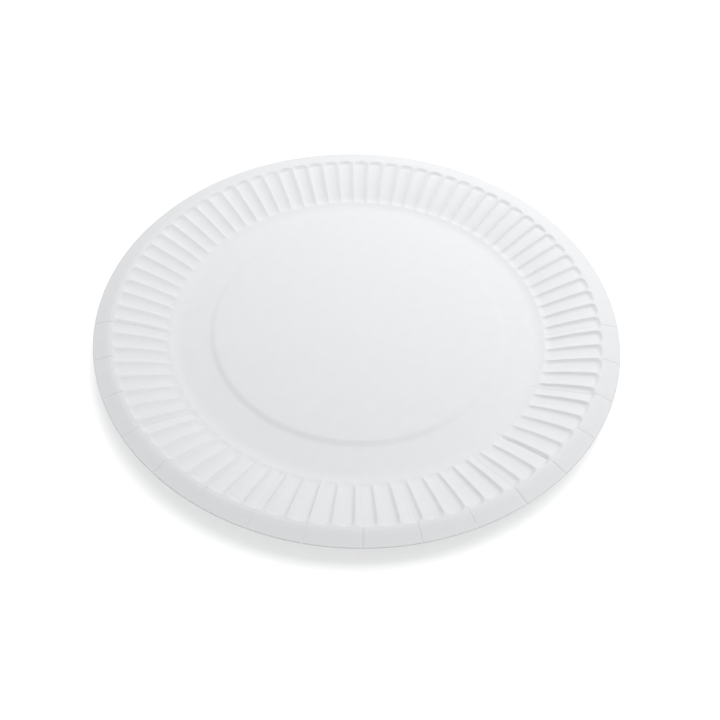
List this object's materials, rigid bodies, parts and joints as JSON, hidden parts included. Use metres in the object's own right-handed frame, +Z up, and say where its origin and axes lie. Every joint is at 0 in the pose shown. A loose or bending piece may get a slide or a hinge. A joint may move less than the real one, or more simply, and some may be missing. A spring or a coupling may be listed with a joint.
{
  "type": "paper plate",
  "caption": "Round shallow pressed paper plate with a flat base, a fluted sloping wall and a smooth creased rim band, to hold food.",
  "frame": {"origin": "centre of the plate, on the surface that it rests on", "axes": "+Z up along the plate's axis, out of its open side; +X to the right and -Y towards the viewer in the picture"},
  "size_m": [0.23, 0.23, 0.011],
  "materials": {
    "white_board": "matt uncoated white board"
  },
  "bodies": {
    "root": {"plate": "white_board"}
  },
  "joints": []
}
